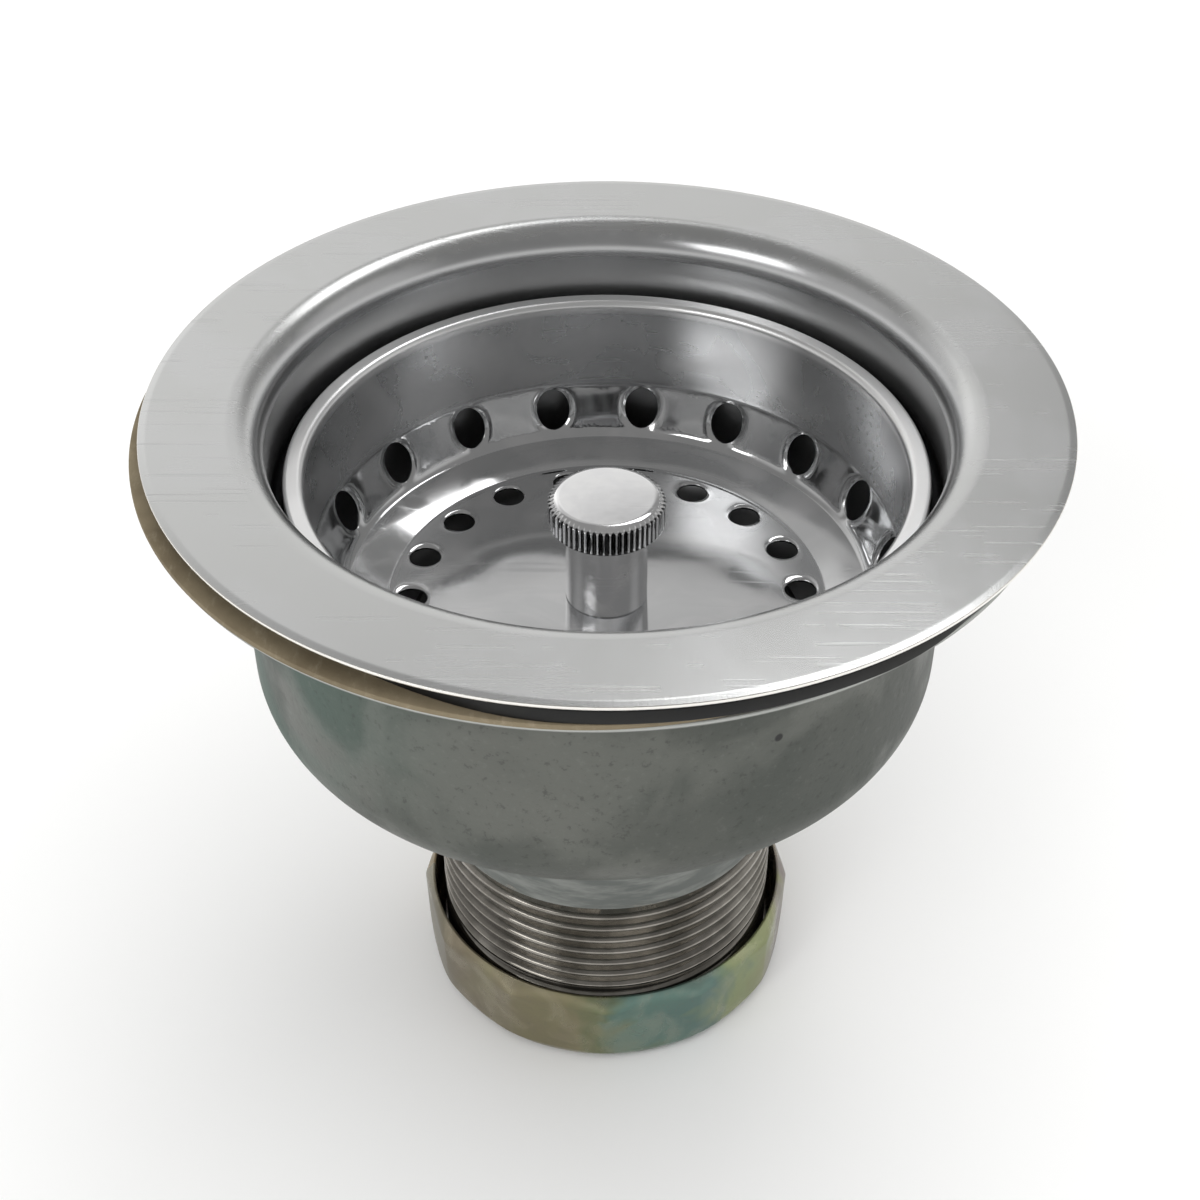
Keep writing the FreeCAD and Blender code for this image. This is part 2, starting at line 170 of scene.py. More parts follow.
# The basket: one sheet, its seen face given first, with a coned band and a floor ring that are pierced
BASKET_SHEET = 0.5
BASKET_CORNERS = [
    (40.74, 83.04), (40.74, 86.65), (38.1, 86.65), (38.0, 73.2), (35.11, 66.7), (29.01, 64.9), (3.1, 64.9),
]
BASKET_BENDS = [0.6, 0.9, 2.0, 2.0, 2.0]
HOLES = 18
FIRST_HOLE = math.radians(2.2)
HOLE_COLUMNS = 14
HOLE_ROWS = 16
EDGE_ROUND = 0.22  # rounding of a hole's lip
PUNCH_REACH = 0.35  # how far the dent round a hole reaches, as a share of the hole's half size
PUNCH_TILT = 2.2  # how strongly the dent tilts the surface
RIM_BULGE = 0.15
BASKET_STEPS = 9
WALL_HOLE = (4.6, 5.8)  # width and length
WALL_HOLE_HEIGHT = 70.1
WALL_DENT = 0.25
FLOOR_HOLE = (4.2, 4.2)
FLOOR_HOLE_CIRCLE = 25.9
FLOOR_RING = (28.5, 23.3)  # outer and inner radius of the pierced ring
FLOOR_HEIGHT = 64.9
FLOOR_DENT = 0.15


def sheet_strip(surface, path, sheet, columns, first_angle):
    """Both faces of an open strip of sheet."""
    surface.lathe([(point, -normal) for point, normal in path], columns, first_angle)
    surface.lathe([(point + normal * sheet, normal) for point, normal in path], columns, first_angle)


def sector_outline(half_width, length, hole_at):
    """Points round the edge of one flattened sector, about the hole's centre."""
    across = [half_width * (1 - 2 * i / HOLE_COLUMNS) for i in range(HOLE_COLUMNS)]
    down = [length * i / HOLE_ROWS for i in range(HOLE_ROWS)]
    outline = [(x, 0) for x in across] + [(-half_width, y) for y in down]
    outline += [(-x, length) for x in across] + [(half_width, length - y) for y in down]
    return [(x, y - hole_at) for x, y in outline]


def hole_steps(sheet):
    """From the sector's edge over the rounded lip and through the hole to the far face.

    Each step is the share of the way back to the sector's edge, how far the lip stands out from the hole,
    the depth into the sheet, and the two parts of the normal: out of the seen face, and into the hole."""
    steps = [(share, EDGE_ROUND, 0, 1, 0) for share in (1, 0.8, 0.6, 0.42, 0.26, 0.12, 0)]
    for turn in (math.radians(22.5 * i) for i in range(1, 5)):
        s, c = math.sin(turn), math.cos(turn)
        steps.append((0, EDGE_ROUND * (1 - s), EDGE_ROUND * (1 - c), c, s))
    for turn in (math.radians(45 * i) for i in range(2, -1, -1)):
        s, c = math.sin(turn), math.cos(turn)
        steps.append((0, EDGE_ROUND * (1 - s), sheet - EDGE_ROUND * (1 - c), -c, s))
    return steps + [(share, EDGE_ROUND, sheet, -1, 0) for share in (0.3, 0.65, 1)]


def distances_of(path):
    """How far along a path each of its points lies."""
    distances = [0.0]
    for (start, _), (end, _) in zip(path, path[1:]):
        distances.append(distances[-1] + abs(end - start))
    return distances


def place_along(path, distances, distance):
    """Point and normal at a distance along a path."""
    index = min(max(bisect_left(distances, distance), 1), len(path) - 1)
    share = (distance - distances[index - 1]) / (distances[index] - distances[index - 1])
    share = max(0.0, min(1.0, share))
    (start, start_normal), (end, end_normal) = path[index - 1], path[index]
    normal = start_normal + (end_normal - start_normal) * share
    return start + (end - start) * share, normal / abs(normal)


def pierced_band(surface, path, sheet, hole_size, hole_at, dimple):
    """A bent band of sheet with a ring of oval holes, whose edges are pushed in by the punch."""
    hole_width, hole_height = hole_size
    distances = distances_of(path)
    radius = place_along(path, distances, hole_at)[0].real
    outline = sector_outline(radius * math.pi / HOLES, distances[-1], hole_at)
    for hole in range(HOLES):
        middle = FIRST_HOLE + 2 * math.pi * hole / HOLES
        points, normals = [], []
        for share, lip, depth, face, inward in hole_steps(sheet):
            row, row_normals = [], []
            for edge_x, edge_y in outline:
                turn = math.atan2(edge_y / hole_height, edge_x / hole_width)
                c, s = math.cos(turn), math.sin(turn)
                out_x, out_y = hole_height * c, hole_width * s
                size = math.hypot(out_x, out_y)
                out_x, out_y = out_x / size, out_y / size
                x, y = hole_width / 2 * c + out_x * lip, hole_height / 2 * s + out_y * lip
                x, y = x + (edge_x - x) * share, y + (edge_y - y) * share
                away = max(0.0, math.hypot(x / hole_width, y / hole_height) * 2 - 1)
                fall = math.exp(-(away / PUNCH_REACH) ** 2) * (1 - share) ** 2
                seen, normal = place_along(path, distances, y + hole_at)
                way = normal / 1j
                place = seen + normal * (depth + dimple * fall)
                tilt = inward + (PUNCH_TILT * dimple * fall * face if abs(face) == 1 else 0)
                upward = -normal * face - way * out_y * tilt
                angle = middle + x / radius
                cos, sin = math.cos(angle), math.sin(angle)
                around = -out_x * tilt
                row.append((place.real * cos, place.real * sin, place.imag))
                slope = Vector((upward.real * cos - around * sin, upward.real * sin + around * cos, upward.imag))
                row_normals.append(tuple(slope.normalized()))
            points.append(row)
            normals.append(row_normals)
        surface.grid(points, normals)


def make_basket(material):
    surface = Surface()
    columns = HOLES * HOLE_COLUMNS
    first_angle = FIRST_HOLE + math.pi / HOLES
    path = path_of(pull_in(BASKET_CORNERS, RIM_BULGE), BASKET_BENDS, BASKET_STEPS)
    # Where, along the path's points, the pierced band starts, its cone starts, it ends, and the floor starts
    band_top, band_middle, band_bottom, floor_edge = 21, 30, 40, 50
    sheet_strip(surface, path[:band_top + 1], BASKET_SHEET, columns, first_angle)
    cone_start, cone_end = path[band_middle][0], path[band_middle + 1][0]
    hole_at = distances_of(path[band_top:band_middle + 1])[-1]
    hole_at += (cone_start.imag - WALL_HOLE_HEIGHT) * abs(cone_end - cone_start) / (cone_start - cone_end).imag
    pierced_band(surface, path[band_top:band_bottom + 1], BASKET_SHEET, WALL_HOLE, hole_at, WALL_DENT)
    sheet_strip(surface, path[band_bottom:floor_edge + 1], BASKET_SHEET, columns, first_angle)
    ring_out, ring_in = (complex(radius, FLOOR_HEIGHT) for radius in FLOOR_RING)
    up = path[-1][1]
    sheet_strip(surface, [path[floor_edge], (ring_out, up)], BASKET_SHEET, columns, first_angle)
    ring_at = FLOOR_RING[0] - FLOOR_HOLE_CIRCLE
    pierced_band(surface, [(ring_out, up), (ring_in, up)], BASKET_SHEET, FLOOR_HOLE, ring_at, FLOOR_DENT)
    sheet_strip(surface, [(ring_in, up), path[-1]], BASKET_SHEET, columns, first_angle)
    start_point, start_normal = path[0]
    skirt_end = cap_of(start_point + start_normal * BASKET_SHEET, -start_normal, BASKET_SHEET, RIM_BULGE)
    surface.lathe(skirt_end, columns, first_angle)
    return surface.piece("basket", "basket", material, ["basket_shell"], "polished_steel")


def make_bowl(material):
    corners = [
        (57.15, 95.75), (56.2, 95.9), (44.95, 95.9), (42.4, 93.15), (42.4, 83.7), (39.7, 82.14),
        (39.7, 54.0), (19.7, 54.0), (19.7, 44.71), (20.31, 44.1),
    ]
    surface = Surface()
    bends = [2.5, 4.2, 4.8, 1.5, 1.5, 6.0, 1.5, 0.8]
    surface.lathe(sheet_profile(corners, bends, sheet=0.6, bulge=0.12))
    return surface.piece("strainer_bowl_sheet", "waste", material, ["strainer_bowl"], "flange_steel")


# The gasket's full edge is at this azimuth and as far to each side as the span says; then it is drawn in
GASKET_FULL_AT = -77
GASKET_FULL_SPAN = 18
GASKET_PULL_SPAN = 32
GASKET_PULL = 2.3
# The card washer is drawn in on the right, fully up to CARD_PULL_END - CARD_PULL_SPAN degrees to each side
CARD_PULL = 0.9
CARD_PULL_END = 95
CARD_PULL_SPAN = 35


def degrees_from(angle, azimuth):
    return abs((math.degrees(angle) - azimuth + 180) % 360 - 180)


def gasket_pull(angle):
    """How far the soft gasket's edge is drawn in from its full radius, which it has at the front."""
    return GASKET_PULL * smooth_step((degrees_from(angle, GASKET_FULL_AT) - GASKET_FULL_SPAN) / GASKET_PULL_SPAN)


def card_pull(angle):
    """How far the card washer's edge is drawn in towards the right, where the photo shows none of it."""
    return CARD_PULL * smooth_step((CARD_PULL_END - degrees_from(angle, 0)) / CARD_PULL_SPAN)


def rows_of(points):
    return [(point.real, point.imag) for point in points]


def make_gasket(material):
    profile = block_profile([(47.5, 93.0), (56.8, 93.0), (56.8, 95.0), (47.5, 95.0)], 0.25)
    rows = rows_of(point for point, _ in profile)

    def radius_at(radius, height, angle):
        on_edge = radius > 52
        return (radius - gasket_pull(angle) if on_edge else radius), height

    made = outside_grid("gasket", rows, COLUMNS, radius_at)
    return finish_piece(made, "waste", material, ["rubber_gasket"], 50)


def make_card(material):
    profile = block_profile([(49.1, 92.3), (56.9, 92.3), (56.9, 93.0), (49.1, 93.0)], 0.12)
    rows = rows_of(point for point, _ in profile)

    def radius_at(radius, height, angle):
        on_edge = radius > 53
        return (radius - card_pull(angle) if on_edge else radius), height

    made = outside_grid("card_ring", rows, COLUMNS, radius_at)
    made.data.transform(Matrix.Translation((CUP_SHIFT * MM, 0, 0)))
    return finish_piece(made, "waste", material, ["card_washer"], 50)


def make_cup(material):
    corners = [(25.6, 43.3), (30.5, 43.3), (45.1, 57.3), (45.5, 91.6), (56.6, 91.6)]
    surface = Surface()
    surface.lathe(sheet_profile(corners, [1.2, 9.0, 1.6], sheet=0.7, bulge=0.2))
    return surface.piece("cup_shell", "waste", material, ["cup"], "dull_zinc", CUP_SHIFT)


def outside_grid(name, rows, columns, radius_at):
    """Closed surface of rows of (radius, height), with a radius of its own at each angle."""
    angles = [2 * math.pi * column / columns for column in range(columns)]
    vertices, faces = [], []
    for radius, height in rows:
        for angle in angles:
            r, z = radius_at(radius, height, angle)
            vertices.append((r * math.cos(angle) * MM, r * math.sin(angle) * MM, z * MM))
    for row in range(len(rows) - 1):
        for column in range(columns):
            after = (column + 1) % columns
            here, there = row * columns, (row + 1) * columns
            faces.append((here + column, here + after, there + after, there + column))
    return mesh_object(name, vertices, faces)


def finish_piece(made, body, material, nodes, sharp):
    made.data.set_sharp_from_angle(angle=math.radians(sharp))
    made.data.materials.append(material)
    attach(made, body)
    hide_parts(*nodes)
    return made


def smooth_least(a, b, blend):
    """The lesser of two lengths, blended where they are close."""
    share = max(0.0, min(1.0, 0.5 + (b - a) / (2 * blend)))
    return b + (a - b) * share - blend * share * (1 - share)


def smooth_step(value):
    value = max(0.0, min(1.0, value))
    return value * value * (3 - 2 * value)


def cut_up(path, longest, outside=0.0):
    """Points along a path, with each run that reaches beyond a radius cut into pieces about as long as given."""
    points = []
    for (start, _), (end, _) in zip(path, path[1:]):
        fine = max(start.real, end.real) > outside
        pieces = max(1, round(abs(end - start) / longest)) if fine else 1
        points += [start + (end - start) * i / pieces for i in range(pieces)]
    return points + [path[-1][0]]


NUT_SIDES = 12
NUT_APOTHEM = 26.2
NUT_BLEND = 0.8  # rounding between the nut's turned form and its flats
NUT_INSIDE = 25.31  # everything within this radius is turned
COLUMNS_A_SIDE = 40


def make_nut(material):
    outline = [
        (24.9, 1.0), (25.7, 1.0), (26.4, 2.0), (26.75, 5.0), (27.1, 11.0), (25.65, 13.2), (25.3, 13.2),
        (25.3, 6.0), (24.2, 4.9), (24.2, 1.0), (24.9, 1.0),
    ]
    path = path_of(outline, [0.4, 0.6, 1.0, 0.8, 0.14, 0.14, 0.5, 0.3, 0.3], 5)
    rows = rows_of(cut_up(path, 0.35))
    half = math.pi / NUT_SIDES

    def radius_at(radius, height, angle):
        away = (angle + math.pi / 2) % (2 * half) - half
        if radius < NUT_INSIDE:
            return radius, height
        return smooth_least(radius, NUT_APOTHEM / math.cos(away), NUT_BLEND), height

    made = outside_grid("backnut_shell", rows, NUT_SIDES * COLUMNS_A_SIDE, radius_at)
    return finish_piece(made, "nut", material, ["backnut"], 50)


PITCH = 2.309
CREST = 23.9
THREAD_DEPTH = 1.35
THREAD_END = 29.6
THREAD_RUN_OUT = 0.45  # share of a turn over which the last groove fades
THREAD_TOP = THREAD_END + 1.5  # where the plain neck takes over
END_BEVEL = 0.9
BEVEL_BLEND = 0.1
BEVEL_REACH = 1.6
THREAD_COLUMNS = 240


def make_tail(material):
    """Neck and flange turned, and below them a right-hand thread that runs out into the neck."""
    shape = [(0.0, 0.0), (0.12, 0.0), (0.2, 0.1), (0.32, 0.5), (0.44, 0.9), (0.52, 1.0), (0.64, 1.0), (0.72, 0.9),
             (0.84, 0.5), (0.96, 0.1)]
    rows = []
    for turn in range(-2, int(THREAD_END / PITCH) + 3):
        rows += [(share_down, (turn + along) * PITCH) for along, share_down in shape]

    def radius_at(depth, height, angle):
        climbed = height + PITCH * angle / (2 * math.pi)
        cut = smooth_step((THREAD_END - climbed) / (THREAD_RUN_OUT * PITCH))
        z = max(0.0, min(THREAD_TOP, climbed))
        radius = CREST - THREAD_DEPTH * depth * cut
        bevel = CREST - END_BEVEL + z
        return (smooth_least(radius, bevel, BEVEL_BLEND) if z < BEVEL_REACH else radius), z

    columns = THREAD_COLUMNS
    angles = [2 * math.pi * column / columns for column in range(columns + 1)]
    vertices, faces = [], []
    for depth, height in rows:
        for angle in angles:
            r, z = radius_at(depth, height, angle)
            vertices.append((r * math.cos(angle) * MM, r * math.sin(angle) * MM, z * MM))
    wide = columns + 1
    for row in range(len(rows) - 1):
        for column in range(columns):
            here = row * wide + column
            corners = (here, here + 1, here + 1 + wide, here + wide)
            heights = [vertices[corner][2] for corner in corners]
            if max(heights) - min(heights) > 1e-9:
                faces.append(corners)
    thread = mesh_object("tail_thread", vertices, faces)
    thread.data.set_sharp_from_angle(angle=math.radians(60))
    thread.data.materials.append(material)
    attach(thread, "waste")

    turned = [
        (CREST, THREAD_TOP), (CREST, 49.6), (30.0, 49.6), (30.0, 52.2), (20.4, 52.2), (20.4, 45.0),
        (21.4, 44.0), (21.4, 0.0), (CREST - END_BEVEL, 0.0),
    ]
    surface = Surface()
    path = path_of(turned, [0.5, 0.3, 0.3, 0.3, 0.3, 0.3, 0.25], 3)
    surface.lathe([(point, -normal) for point, normal in path])
    return surface.piece("tail_body", "waste", material, ["threaded_tail"], "cut_thread")


KNURLS = 58
KNURL_INSIDE = 7.0
KNURL_DEPTH = 0.42
KNOB_RADIUS = 7.65
KNOB_BOTTOM = 76.6
KNOB_TOP = 80.75


def make_knob(material):
    outline = [
        (3.1, 64.9), (5.2, 64.9), (5.4, 65.05), (5.4, KNOB_BOTTOM), (7.25, KNOB_BOTTOM), (KNOB_RADIUS, 77.0),
        (KNOB_RADIUS, 80.1), (6.5, KNOB_TOP), (0.02, KNOB_TOP),
    ]
    path = path_of(outline, [0.1, 0.1, 0.25, 0.15, 0.15, 0.2, 1.8], 5)
    rows = rows_of(cut_up(path, 0.5, outside=KNURL_INSIDE))
    tooth = [0.0, 0.0, 0.35, 0.8, 1.0, 1.0, 0.8, 0.35]
    per_tooth = len(tooth)

    def radius_at(radius, height, angle):
        index = round(angle / (2 * math.pi) * KNURLS * per_tooth) % per_tooth
        floor = KNOB_RADIUS - KNURL_DEPTH * tooth[index]
        if radius > KNURL_INSIDE and KNOB_BOTTOM <= height < KNOB_TOP - 0.01:
            return min(radius, floor), height
        return radius, height

    made = outside_grid("knob", rows, KNURLS * per_tooth, radius_at)
    return finish_piece(made, "basket", material, ["knob_post"], 38)


class Nodes:
    """Short ways to add and join nodes in a material or group."""

    def __init__(self, tree):
        self.tree = tree

    def add(self, kind, **settings):
        node = self.tree.nodes.new(kind)
        for name, value in settings.items():
            setattr(node, name, value)
        return node

    def join(self, value, socket):
        if isinstance(value, bpy.types.NodeSocket):
            self.tree.links.new(value, socket)
        elif value is not None:
            socket.default_value = value

    def math(self, operation, a, b=None):
        node = self.add("ShaderNodeMath", operation=operation)
        for value, socket in zip((a, b), node.inputs):
            self.join(value, socket)
        return node.outputs[0]

    def ramp(self, value, low, high, to_low=0.0, to_high=1.0):
        """Smooth change from one value to another while the first goes from low to high."""
        node = self.add("ShaderNodeMapRange", interpolation_type="SMOOTHSTEP")
        for number, name in ((value, "Value"), (low, "From Min"), (high, "From Max"),
                             (to_low, "To Min"), (to_high, "To Max")):
            self.join(number, node.inputs[name])
        return node.outputs["Result"]

    def noise(self, place, scale, detail=3.0, rough=0.5, twist=0.0):
        node = self.add("ShaderNodeTexNoise")
        self.join(place, node.inputs["Vector"])
        node.inputs["Scale"].default_value = scale
        node.inputs["Detail"].default_value = detail
        node.inputs["Roughness"].default_value = rough
        node.inputs["Distortion"].default_value = twist
        return node.outputs["Fac"]

    def mix(self, share, a, b):
        node = self.add("ShaderNodeMix", data_type="RGBA", clamp_factor=True)
        self.join(share, node.inputs[0])
        for value, socket in ((a, node.inputs[6]), (b, node.inputs[7])):
            if isinstance(value, tuple) and len(value) == 3:
                value = value + (1.0,)
            self.join(value, socket)
        return node.outputs[2]

    def place(self):
        return self.add("ShaderNodeTexCoord").outputs["Object"]

    def parts_of(self, vector):
        node = self.add("ShaderNodeSeparateXYZ")
        self.join(vector, node.inputs[0])
        return node.outputs

    def vector(self, x, y, z):
        node = self.add("ShaderNodeCombineXYZ")
        for value, socket in zip((x, y, z), node.inputs):
            self.join(value, socket)
        return node.outputs[0]

    def stretched(self, place, scale):
        node = self.add("ShaderNodeMapping")
        self.join(place, node.inputs["Vector"])
        node.inputs["Scale"].default_value = scale
        return node.outputs[0]

    def radius(self, place):
        x, y, _ = self.parts_of(place)
        return self.math("SQRT", self.math("ADD", self.math("MULTIPLY", x, x), self.math("MULTIPLY", y, y)))

    def group(self, tree, **inputs):
        node = self.add("ShaderNodeGroup", node_tree=tree)
        for name, value in inputs.items():
            self.join(value, node.inputs[name.replace("_", " ").capitalize()])
        return node.outputs


def new_group(name, inputs, outputs):
    tree = bpy.data.node_groups.new(name, "ShaderNodeTree")
    for label, kind, value in inputs:
        socket = tree.interface.new_socket(label, in_out="INPUT", socket_type="NodeSocket" + kind)
        if value is not None:
            socket.default_value = value
    for label, kind in outputs:
        tree.interface.new_socket(label, in_out="OUTPUT", socket_type="NodeSocket" + kind)
    nodes = Nodes(tree)
    return tree, nodes, nodes.add("NodeGroupInput").outputs, nodes.add("NodeGroupOutput").inputs


def make_scratches():
    """Fine straight scratches in several directions, with a height and a mask."""
    tree, n, given, made = new_group(
        "fine_scratches", [("Place", "Vector", None), ("Amount", "Float", 0.5)],
        [("Height", "Float"), ("Mask", "Float")])
    total = None
    for turn, fine in ((0.35, 1500.0), (1.35, 1900.0), (2.5, 1300.0)):
        spin = n.add("ShaderNodeMapping")
        n.join(given["Place"], spin.inputs["Vector"])
        spin.inputs["Rotation"].default_value = (0.0, 0.0, turn)
        spin.inputs["Scale"].default_value = (0.02, 1.0, 1.0)
        line = n.ramp(n.noise(spin.outputs[0], fine, 1.0), 0.62, 0.75)
        here = n.ramp(n.noise(given["Place"], 60.0 + 20 * turn, 2.0), 0.48, 0.62)
        line = n.math("MULTIPLY", line, here)
        total = line if total is None else n.math("MAXIMUM", total, line)
    total = n.math("MULTIPLY", total, given["Amount"])
    n.join(total, made["Mask"])
    n.join(n.math("MULTIPLY", total, -1.0), made["Height"])
    return tree


def make_turning():
    """Fine rings about the axis, as a lathe or a polishing wheel leaves them."""
    tree, n, given, made = new_group(
        "turning_rings", [("Place", "Vector", None), ("Fineness", "Float", 1.0)], [("Height", "Float")])
    x, y, z = n.parts_of(given["Place"])
    radius = n.radius(given["Place"])
    around = n.math("ARCTAN2", y, x)
    swing = n.math("MULTIPLY", n.math("SINE", around), 0.0006)
    ring = n.vector(n.math("MULTIPLY", n.math("ADD", radius, swing), given["Fineness"]),
                    n.math("MULTIPLY", n.math("COSINE", around), 0.0008),
                    n.math("MULTIPLY", z, given["Fineness"]))
    n.join(n.noise(ring, 2600.0, 3.0, 0.6), made["Height"])
    return tree


def make_handling():
    """Soft blotches from fingers and dried water."""
    tree, n, given, made = new_group(
        "handling_marks", [("Place", "Vector", None), ("Size", "Float", 90.0)], [("Mask", "Float")])
    node = n.add("ShaderNodeTexNoise")
    n.join(given["Place"], node.inputs["Vector"])
    n.join(given["Size"], node.inputs["Scale"])
    node.inputs["Detail"].default_value = 5.0
    node.inputs["Distortion"].default_value = 0.6
    n.join(n.ramp(node.outputs["Fac"], 0.42, 0.66), made["Mask"])
    return tree


SCRATCHES, TURNING, HANDLING = make_scratches(), make_turning(), make_handling()


def new_material(name, metallic, roughness):
    material = bpy.data.materials.new(name)
    material.use_nodes = True
    shader = material.node_tree.nodes["Principled BSDF"]
    shader.inputs["Metallic"].default_value = metallic
    shader.inputs["Roughness"].default_value = roughness
    return material, Nodes(material.node_tree), shader


def bumped(n, shader, *heights):
    """Joins one or more (height, strength, distance in metres) bumps to the shader's normal."""
    normal = None
    for height, strength, distance in heights:
        bump = n.add("ShaderNodeBump")
        n.join(height, bump.inputs["Height"])
        bump.inputs["Strength"].default_value = strength
        bump.inputs["Distance"].default_value = distance
        n.join(normal, bump.inputs["Normal"])
        normal = bump.outputs["Normal"]
    n.join(normal, shader.inputs["Normal"])


def flange_steel():
    """Brushed flange that gives way, at a ragged line on the bend, to a polished throat, with painted shade on the
    shoulder, a darker painted-shade tone inside the bowl below it, and a painted highlight along the outer edge.
    """
    material, n, shader = new_material("flange_steel", 1.0, 0.3)
    place = n.place()
    z = n.parts_of(place)[2]
    radius = n.radius(place)
    ragged = n.math("MULTIPLY", n.math("SUBTRACT", n.noise(place, 350.0, 4.0, 0.7), 0.5), 0.0022)
    edge = n.math("ADD", radius, ragged)
    brushed = n.math("MULTIPLY", n.ramp(edge, 0.0434, 0.0441), n.ramp(z, 0.0925, 0.0930))
    scratches = n.group(SCRATCHES, place=place, amount=0.8)
    marks = n.group(HANDLING, place=place, size=70.0)
    rings = n.group(TURNING, place=place, fineness=1.0)
    fine = n.noise(n.stretched(place, (1.0, 0.06, 1.0)), 3200.0, 2.0)
    scratched = n.math("MULTIPLY", scratches["Mask"], brushed)
    wall_rough = n.ramp(z, 0.0900, 0.0925, 0.34, 0.22)
    rough = n.math("ADD", n.ramp(brushed, 0.0, 1.0, wall_rough, 0.25), n.math("MULTIPLY", marks["Mask"], 0.02))
    n.join(n.math("ADD", rough, n.math("MULTIPLY", scratched, 0.1)), shader.inputs["Roughness"])
    tone = n.mix(marks["Mask"], (0.615, 0.62, 0.615), (0.64, 0.645, 0.645))
    polished = n.mix(marks["Mask"], (0.57, 0.575, 0.58), (0.60, 0.605, 0.61))
    # Painted shade: the shoulder, between about 80 and 85 mm high, is painted near black (0.03) as a shadow drawn
    # into the colour.
    painted_shoulder_shade = n.math("MULTIPLY", n.ramp(z, 0.0848, 0.0838), n.ramp(z, 0.0800, 0.0824))
    # Painted shade: below the shoulder the bowl's inside gets a darker tone than the polished throat.
    inside = n.mix(n.ramp(z, 0.0825, 0.0800), polished, (0.48, 0.485, 0.49))
    shaded = n.mix(painted_shoulder_shade, inside, (0.03, 0.03, 0.032))
    # Painted highlight: the flange's outer edge is painted lighter and warmer than the brushed top.
    tone = n.mix(n.ramp(radius, 0.05695, 0.0571), tone, (0.88, 0.86, 0.82))
    n.join(n.mix(brushed, shaded, tone), shader.inputs["Base Color"])
    grain = n.math("MULTIPLY", fine, brushed)
    cuts = n.math("MULTIPLY", scratches["Height"], brushed)
    bumped(n, shader, (grain, 0.3, 0.00002), (cuts, 0.4, 0.00002), (rings["Height"], 0.03, 0.00001))
    return material


def polished_steel():
    """Polished basket with a slightly hollow floor, a satin wall and a rim painted lighter as a painted highlight.
    """
    material, n, shader = new_material("polished_steel", 1.0, 0.08)
    place = n.place()
    marks = n.group(HANDLING, place=place, size=110.0)
    scratches = n.group(SCRATCHES, place=place, amount=0.5)
    rings = n.group(TURNING, place=place, fineness=0.7)
    z = n.parts_of(place)[2]
    satin = n.math("ADD", n.ramp(z, 0.0722, 0.0745, 0.0, 0.2), n.ramp(z, 0.0848, 0.0856, 0.0, 0.03))
    rough = n.math("ADD", n.ramp(marks["Mask"], 0.0, 1.0, 0.07, 0.12), n.math("MULTIPLY", scratches["Mask"], 0.12))
    n.join(n.math("ADD", rough, satin), shader.inputs["Roughness"])
    tone = n.mix(marks["Mask"], (0.62, 0.625, 0.63), (0.68, 0.68, 0.685))
    # Painted highlight: the rim, above about 85 mm, is painted much lighter (0.93) than the rest of the same
    # sheet.
    n.join(n.mix(n.ramp(z, 0.0848, 0.0856), tone, (0.93, 0.93, 0.93)), shader.inputs["Base Color"])
    waves = n.noise(place, 45.0, 1.0)
    radius = n.math("MINIMUM", n.radius(place), 0.0284)
    hollow = n.math("MULTIPLY", radius, radius)
    bumped(n, shader, (hollow, 1.0, 1.0), (waves, 0.3, 0.0012), (rings["Height"], 0.05, 0.00001),
           (scratches["Height"], 0.2, 0.00001))
    return material


def bright_chrome():
    """Bright knob with painted shade in the grooves of the knurl, on a slightly duller post."""
    material, n, shader = new_material("chrome", 1.0, 0.07)
    place = n.place()
    marks = n.group(HANDLING, place=place, size=160.0)
    scratches = n.group(SCRATCHES, place=place, amount=0.7)
    rough = n.math("ADD", n.ramp(marks["Mask"], 0.0, 1.0, 0.05, 0.14), n.math("MULTIPLY", scratches["Mask"], 0.15))
    z = n.parts_of(place)[2]
    radius = n.radius(place)
    post = n.math("MULTIPLY", n.ramp(radius, 0.0060, 0.0056), n.ramp(z, 0.0768, 0.0766))
    n.join(n.math("ADD", rough, n.math("MULTIPLY", post, 0.05)), shader.inputs["Roughness"])
    # Painted shade: the floors of the knurl's grooves are painted near black (0.06).
    groove = n.math("MULTIPLY", n.ramp(radius, 0.00755, 0.00735), n.ramp(radius, 0.0070, 0.0071))
    groove = n.math("MULTIPLY", groove, n.ramp(z, 0.0803, 0.0801))
    tone = n.mix(marks["Mask"], (0.86, 0.86, 0.87), (0.92, 0.92, 0.92))
    n.join(n.mix(groove, tone, (0.06, 0.06, 0.06)), shader.inputs["Base Color"])
    bumped(n, shader, (n.noise(place, 260.0, 2.0), 0.12, 0.0002), (scratches["Height"], 0.25, 0.00001))
    return material


DARK_MARK = (0.01975, -0.04006, 0.07582)  # place of the cup's dark mark, in metres


